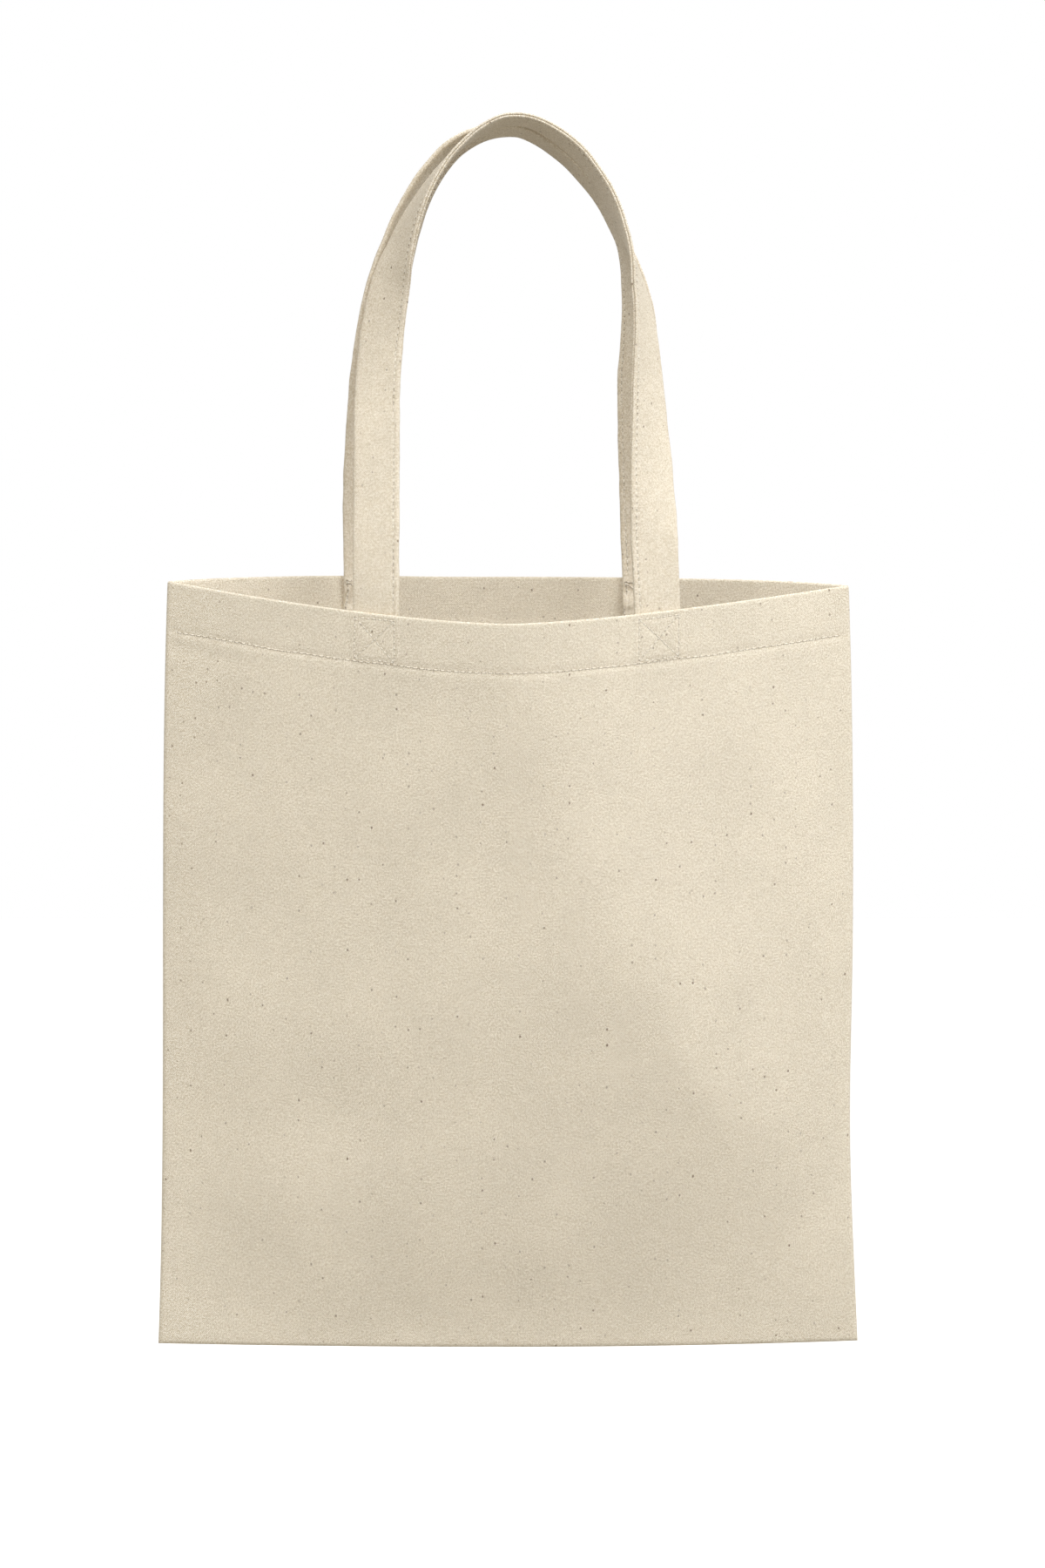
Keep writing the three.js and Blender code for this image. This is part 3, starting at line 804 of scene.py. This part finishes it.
def stitch_tree():
    """A row of stitches along a line: one arch of thread for each pitch, lying on the cloth."""
    tree = bpy.data.node_groups.new("row_of_stitches", "GeometryNodeTree")
    face = tree.interface
    face.new_socket("Line", in_out="INPUT", socket_type="NodeSocketGeometry")
    for name, value in (
        ("Pitch", 0.0037),
        ("Stitch Length", 0.003),
        ("Thread Width", 0.0005),
        ("Rise", 0.0004),
        ("Slant", 0.0),
        ("Sway", 0.05),
    ):
        socket = face.new_socket(name, in_out="INPUT", socket_type="NodeSocketFloat")
        socket.default_value = value
    face.new_socket("Seed", in_out="INPUT", socket_type="NodeSocketInt")
    face.new_socket("Thread", in_out="INPUT", socket_type="NodeSocketMaterial")
    face.new_socket("Stitches", in_out="OUTPUT", socket_type="NodeSocketGeometry")
    n = Nodes(tree)
    given = n.add("NodeGroupInput").outputs
    out = n.add("NodeGroupOutput").inputs
    line = n.add("GeometryNodeMeshToCurve")
    n.feed(line.inputs["Mesh"], given["Line"])
    even = n.add("GeometryNodeResampleCurve", mode="LENGTH")
    n.feed(even.inputs["Curve"], line.outputs["Curve"])
    n.feed(even.inputs["Length"], given["Pitch"])
    outward = n.add("GeometryNodeInputNamedAttribute", data_type="FLOAT_VECTOR")
    outward.inputs["Name"].default_value = "outward"
    stand = n.add("FunctionNodeAlignRotationToVector", axis="Z")
    n.feed(stand.inputs["Vector"], outward.outputs["Attribute"])
    run = n.add("FunctionNodeAlignRotationToVector", axis="X", pivot_axis="Z")
    n.feed(run.inputs["Rotation"], stand.outputs["Rotation"])
    n.feed(run.inputs["Vector"], n.add("GeometryNodeInputTangent").outputs[0])
    sway = n.add("FunctionNodeRandomValue", data_type="FLOAT")
    numbers = [s for s in sway.inputs if s.type == "VALUE"]
    n.feed(numbers[0], n.math("SUBTRACT", given["Slant"], given["Sway"]))
    n.feed(numbers[1], n.math("ADD", given["Slant"], given["Sway"]))
    n.feed(sway.inputs["Seed"], given["Seed"])
    turn = n.add("FunctionNodeAxisAngleToRotation")
    turn.inputs["Axis"].default_value = (0, 0, 1)
    n.feed(turn.inputs["Angle"], next(s for s in sway.outputs if s.type == "VALUE" and s.enabled))
    turned = n.add("FunctionNodeRotateRotation", rotation_space="LOCAL")
    n.feed(turned.inputs["Rotation"], run.outputs["Rotation"])
    n.feed(turned.inputs["Rotate By"], turn.outputs["Rotation"])
    reach = n.math("MULTIPLY", given["Stitch Length"], 0.5)
    sink = n.math("MULTIPLY", given["Thread Width"], -0.55)
    arc = n.add("GeometryNodeCurveQuadraticBezier")
    arc.inputs["Resolution"].default_value = 6
    n.feed(arc.inputs["Start"], n.combine(n.math("MULTIPLY", reach, -1.0), 0.0, sink))
    n.feed(arc.inputs["Middle"], n.combine(0.0, 0.0, given["Rise"]))
    n.feed(arc.inputs["End"], n.combine(reach, 0.0, sink))
    # tip: 0 in a stitch's middle and 1 at its ends, where the thread material paints the shade of the
    # needle holes
    share = n.add("GeometryNodeSplineParameter").outputs["Factor"]
    tip = n.math("ABSOLUTE", n.math("SUBTRACT", n.math("MULTIPLY", share, 2.0), 1.0))
    marked = n.add("GeometryNodeStoreNamedAttribute", data_type="FLOAT", domain="POINT")
    marked.inputs["Name"].default_value = "tip"
    n.feed(marked.inputs["Geometry"], arc.outputs[0])
    n.feed(next(s for s in marked.inputs if s.name == "Value" and s.type == "VALUE"), tip)
    circle = n.add("GeometryNodeCurvePrimitiveCircle")
    circle.inputs["Resolution"].default_value = 6
    n.feed(circle.inputs["Radius"], n.math("MULTIPLY", given["Thread Width"], 0.5))
    body = n.add("GeometryNodeCurveToMesh")
    n.feed(body.inputs["Curve"], marked.outputs[0])
    n.feed(body.inputs["Profile Curve"], circle.outputs[0])
    body.inputs["Fill Caps"].default_value = True
    placed = n.add("GeometryNodeInstanceOnPoints")
    n.feed(placed.inputs["Points"], even.outputs[0])
    n.feed(placed.inputs["Instance"], body.outputs[0])
    n.feed(placed.inputs["Rotation"], turned.outputs["Rotation"])
    real = n.add("GeometryNodeRealizeInstances")
    n.feed(real.inputs[0], placed.outputs[0])
    finish = n.add("GeometryNodeSetMaterial")
    n.feed(finish.inputs["Geometry"], real.outputs[0])
    n.feed(finish.inputs["Material"], given["Thread"])
    n.feed(out[0], finish.outputs[0])
    return tree


stitches = stitch_tree()


def sew(name, runs, seed, **sizes):
    """Stitches along runs. Each run is its points in mm and the way that the cloth faces at each."""
    points = np.concatenate([p for p, _ in runs])
    outward = np.concatenate([o for _, o in runs])
    edges, start = [], 0
    for p, _ in runs:
        edges += [(start + k, start + k + 1) for k in range(len(p) - 1)]
        start += len(p)
    line = bpy.data.meshes.new(name + "_line")
    line.from_pydata((points * MM).tolist(), edges, [])
    layer = line.attributes.new("outward", "FLOAT_VECTOR", "POINT")
    layer.data.foreach_set("vector", outward.astype(np.float32).ravel())
    guide = bpy.data.objects.new(name + "_line", line)
    bpy.context.scene.collection.objects.link(guide)
    row = guide.modifiers.new("stitches", "NODES")
    row.node_group = stitches
    sockets = {s.name: s.identifier for s in stitches.interface.items_tree if s.in_out == "INPUT"}
    wanted = {
        "Pitch": STITCH_PITCH * MM,
        "Stitch Length": 3.0 * MM,
        "Thread Width": THREAD * MM,
        "Rise": 0.42 * MM,
        "Slant": 0.0,
        "Sway": 0.05,
        "Seed": seed,
        "Thread": cotton_thread,
        **sizes,
    }
    for key, value in wanted.items():
        row[sockets[key]] = value
    ready = guide.evaluated_get(bpy.context.evaluated_depsgraph_get())
    mesh = bpy.data.meshes.new_from_object(ready)
    bpy.data.objects.remove(guide)
    mesh.name = name
    mesh.polygons.foreach_set("use_smooth", [True] * len(mesh.polygons))
    piece = bpy.data.objects.new(name, mesh)
    bpy.context.scene.collection.objects.link(piece)
    return piece


def hem_runs(side):
    """The hem's stitch line outside, and the same line inside the bag."""
    x = np.linspace(-HEM_STITCH_REACH, HEM_STITCH_REACH, 240)
    drop = HEM_STITCH_DROP + 0.35 * drift(x, 71 + side, 80)
    outer, out = on_hem(side, x, drop, -0.08)
    inner, _ = on_hem(side, x, drop, 2 * HEM_FOLD + 0.08)
    feet = handle_feet(SIDE_NAME[side])
    clear = np.all([np.abs(x - foot) > STRAP_WIDTH / 2 + 1 for foot in feet], axis=0)
    runs = [(outer, out)]
    start = 0
    for k in range(1, len(x) + 1):
        if k == len(x) or clear[k] != clear[start]:
            if clear[start] and k - start > 3:
                runs.append((inner[start:k], -out[start:k]))
            start = k
    return runs


def tack_runs(side, foot):
    """The box and cross that hold a handle's end, on the front of the cloth and on the strap inside."""
    left, right = foot - STRAP_WIDTH / 2 + TACK_INSET, foot + STRAP_WIDTH / 2 - TACK_INSET
    corners = [
        ((left, TACK_TOP), (right, TACK_TOP)),
        ((right, TACK_TOP), (right, TACK_FOOT)),
        ((right, TACK_FOOT), (left, TACK_FOOT)),
        ((left, TACK_FOOT), (left, TACK_TOP)),
        ((left, TACK_TOP), (right, TACK_FOOT)),
        ((right, TACK_TOP), (left, TACK_FOOT)),
    ]
    runs = []
    for depth, sign in ((-0.05, 1), (STRAP_DEPTH + 1.5, -1)):
        for n, (a, b) in enumerate(corners):
            a, b = np.array(a), np.array(b)
            inset = 1.4 * (b - a) / np.linalg.norm(b - a)
            t = np.linspace(0, 1, 16)[:, None]
            way = (a + inset) * (1 - t) + (b - inset) * t
            sway = [drift(t[:, 0] * 25, seed + n, 30) for seed in (90, 60)]
            way = way + 0.25 * np.stack(sway, -1)
            points, out = on_hem(side, way[:, 0], way[:, 1], depth)
            runs.append((points, out * sign))
    return runs


def strap_runs(rings):
    """The line of stitches along a strap's open edge, on both of its faces."""
    run = rings["run"]
    k = np.flatnonzero((run > BARE_END) & (run < run[-1] - BARE_END))
    across = STRAP_WIDTH / 2 - EDGE_STITCH_INSET + 0.2 * drift(run[k], 33, 70)
    runs = []
    for face in (1, -1):
        place = strap_place(rings, k, across, np.full(len(k), face * 1.26))
        runs.append((place, rings["thick"][k] * face))
    return runs


# ---- the seams inside ----


# Half of a seam strip's cross-section, from the seam to its raw edge: place across and height
SEAM_SECTION = [
    (0.0, 0.0),
    (0.25, 0.62),
    (1.0, 0.7),
    (3.0, 0.68),
    (5.0, 0.7),
    (6.4, 0.66),
    (6.9, 0.35),
    (6.75, 0.0),
]


def seam_strip(name, line, inward, length_run):
    """The raw edges of both panels, turned inside along a seam, as one strip of two layers."""
    half = np.array(SEAM_SECTION)
    section = np.concatenate([half, half[-2:0:-1] * (1, -1)])
    wave = 0.45 * drift(length_run, 17, 55) * smooth(length_run / 20)
    points = np.zeros((len(line), len(section), 3))
    for i, (across, thick) in enumerate(section):
        points[:, i] = line + inward * across
        points[:, i, 1] += thick + wave * across / 7
    count, around = points.shape[:2]
    faces = tube_faces(np.arange(count * around).reshape(count, around))
    # its own part of the cloth's pattern, with the two faces side by side
    flat = np.zeros((count, around, 3))
    flat[..., 0] = section[:, 0] + 9 * (section[:, 1] < 0)
    flat[..., 1] = length_run[:, None]
    flat[..., 2] = 500
    return make_piece(name, points.reshape(-1, 3), faces, canvas, flat.reshape(-1, 3)), wave


def edge_runs(line, inward, wave):
    """Overlock thread: slanted stitches over both faces of a raw edge."""
    runs = []
    for face in (1, -1):
        place = line + inward * OVERLOCK_REACH
        place[:, 1] += face * 0.72 + wave * OVERLOCK_REACH / 7
        out = np.zeros_like(place)
        out[:, 1] = face
        runs.append((place, out))
    return runs


def side_seam(hand):
    v = np.linspace(0.012, 1 - (HEM_DEPTH + 2) / BODY_HEIGHT, 150)
    x = side_x(np.float64(hand), v) - hand * 3.1
    low = bottom_edge_z(np.float64(hand))
    z = low + v * (top_edge_z(FRONT, np.float64(hand)) - low)
    line = np.stack([x, np.zeros_like(x), z], -1)
    inward = np.tile(np.array([-hand, 0.0, 0.0]), (len(v), 1))
    return line, inward, z - z[0]


def bottom_seam():
    x = np.linspace(-176, 176, 150)
    z = bottom_edge_z(x / MIDDLE_HALF) + 3.1
    line = np.stack([x, np.zeros_like(x), z], -1)
    return line, np.tile(np.array([0.0, 0.0, 1.0]), (len(x), 1)), x - x[0]


# ---- putting the bag together ----

for name, side in (("front", FRONT), ("back", BACK)):
    body = f"{name}_handle"
    rings = handle_rings(name, side)
    strap = build_strap(name, side, rings)
    edge_row = sew(f"{name}_strap_stitches", strap_runs(rings), 3 + side)
    foot_y = float(on_hem(side, handle_feet(name)[0], 0, STRAP_DEPTH)[0][1])
    for piece in (strap, edge_row):
        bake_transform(piece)
    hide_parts(body, f"{name}_left_handle_end", f"{name}_right_handle_end")
    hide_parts(f"{name}_handle_stitching")

panels = {}
for name, side in (("front", FRONT), ("back", BACK)):
    panel = build_panel(f"{name}_panel_cloth", side)
    hem_row = sew(f"{name}_hem_stitches", hem_runs(side), 11 + side)
    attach(panel, "bag")
    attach(hem_row, "bag")
    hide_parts(f"{name}_panel", f"{name}_hem")
    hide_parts(f"{name}_hem_stitching")
    panels[name] = [panel, hem_row]
    for hand, foot in zip(("left", "right"), handle_feet(name)):
        tack = sew(
            f"{name}_{hand}_tack_stitches",
            tack_runs(side, foot),
            31 + side + (hand == "left"),
            **{"Pitch": 2.9 * MM, "Stitch Length": 2.3 * MM, "Thread Width": 0.6 * MM, "Rise": 0.5 * MM},
        )
        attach(tack, "bag")
        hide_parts(f"{name}_{hand}_tack_stitching")
        panels[name].append(tack)

seams = []
for name, (line, inward, run) in (
    ("left", side_seam(-1)),
    ("right", side_seam(1)),
    ("bottom", bottom_seam()),
):
    strip, wave = seam_strip(f"{name}_seam_edge", line, inward, run)
    overlock = sew(
        f"{name}_overlock_stitches",
        edge_runs(line, inward, wave),
        51,
        **{"Pitch": 2.6 * MM, "Stitch Length": 3.6 * MM, "Slant": 1.15, "Rise": 0.3 * MM},
    )
    for piece, slot in ((strip, "canvas"), (overlock, "thread")):
        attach(piece, "bag")
    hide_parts(f"{name}_seam_allowance")
    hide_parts(f"{name}_overlock_thread")
    seams += [strip, overlock]

for name in ("front", "back"):
    panel, *sewn_on = panels[name]


# ---- floor, light and camera ----


def seen_only(n):
    """1 for the camera and for what is mirrored or seen through glass, 0 for light on the bag."""
    path = n.add("ShaderNodeLightPath").outputs
    return n.math(
        "MAXIMUM",
        path["Is Camera Ray"],
        n.math("MAXIMUM", path["Is Glossy Ray"], path["Is Transmission Ray"]),
    )


def white_floor():
    mesh = bpy.data.meshes.new("floor")
    reach, level = 14.0, -1.05
    mesh.from_pydata(
        [(-reach, -reach, level), (reach, -reach, level), (reach, reach, level), (-reach, reach, level)],
        [],
        [(0, 1, 2, 3)],
    )
    floor = bpy.data.objects.new("floor", mesh)
    bpy.context.scene.collection.objects.link(floor)
    material = bpy.data.materials.new("pale_floor")
    material.use_nodes = True
    n = Nodes(material.node_tree)
    shader = material.node_tree.nodes["Principled BSDF"]
    shader.inputs["Base Color"].default_value = (0.42, 0.4, 0.36, 1)
    shader.inputs["Roughness"].default_value = 0.95
    shader.inputs["Specular IOR Level"].default_value = 0.1
    shader.inputs["Emission Color"].default_value = (1, 1, 1, 1)
    n.feed(shader.inputs["Emission Strength"], n.math("MULTIPLY", seen_only(n), 0.88))
    mesh.materials.append(material)


def white_world(ambient, glow):
    """White where it is seen. What reaches the bag is weaker, with a glow's colour."""
    world = bpy.data.worlds.new("studio")
    bpy.context.scene.world = world
    world.use_nodes = True
    n = Nodes(world.node_tree)
    background = world.node_tree.nodes["Background"]
    seen = seen_only(n)
    n.feed(background.inputs["Color"], n.mix(seen, (*glow, 1), (1, 1, 1, 1)))
    strength = n.math("ADD", ambient, n.math("MULTIPLY", seen, 1 - ambient))
    n.feed(background.inputs["Strength"], strength)


def soft_lamp(name, place, aim, size, power, colour):
    lamp = bpy.data.lights.new(name, "AREA")
    lamp.shape = "SQUARE"
    lamp.size = size
    lamp.energy = power
    lamp.color = colour
    holder = bpy.data.objects.new(name, lamp)
    bpy.context.scene.collection.objects.link(holder)
    holder.location = place
    way = np.array(aim) - np.array(place)
    pitch = math.atan2(math.hypot(way[0], way[1]), -way[2])
    holder.rotation_euler = (pitch, 0, math.atan2(way[1], way[0]) - math.pi / 2)


white_floor()
white_world(0.32, (1.0, 0.93, 0.81))
soft_lamp("key", (2.0, -1.7, 1.0), (0, 0, -0.4), 2.2, 38, (0.94, 0.98, 1.04))
soft_lamp("fill", (-0.8, -1.9, 1.3), (0, 0, -0.4), 2.4, 43, (0.98, 0.99, 1.0))
soft_lamp("rear", (-0.5, 2.3, 0.9), (0, 0, -0.4), 1.8, 24, (0.98, 0.99, 1.0))
soft_lamp("top", (0.9, -0.5, 1.45), (0, 0, -0.3), 1.2, 25, (0.98, 0.99, 1.0))

lens = bpy.data.cameras.new("camera")
lens.lens = 70
lens.sensor_width = 36
lens.clip_start, lens.clip_end = 0.05, 60
camera = bpy.data.objects.new("camera", lens)
bpy.context.scene.collection.objects.link(camera)
camera.location = (0.00783, -1.6603, -0.3575)
camera.rotation_euler = (math.radians(90), 0, 0)
bpy.context.scene.camera = camera
bpy.context.scene.view_settings.view_transform = "Standard"
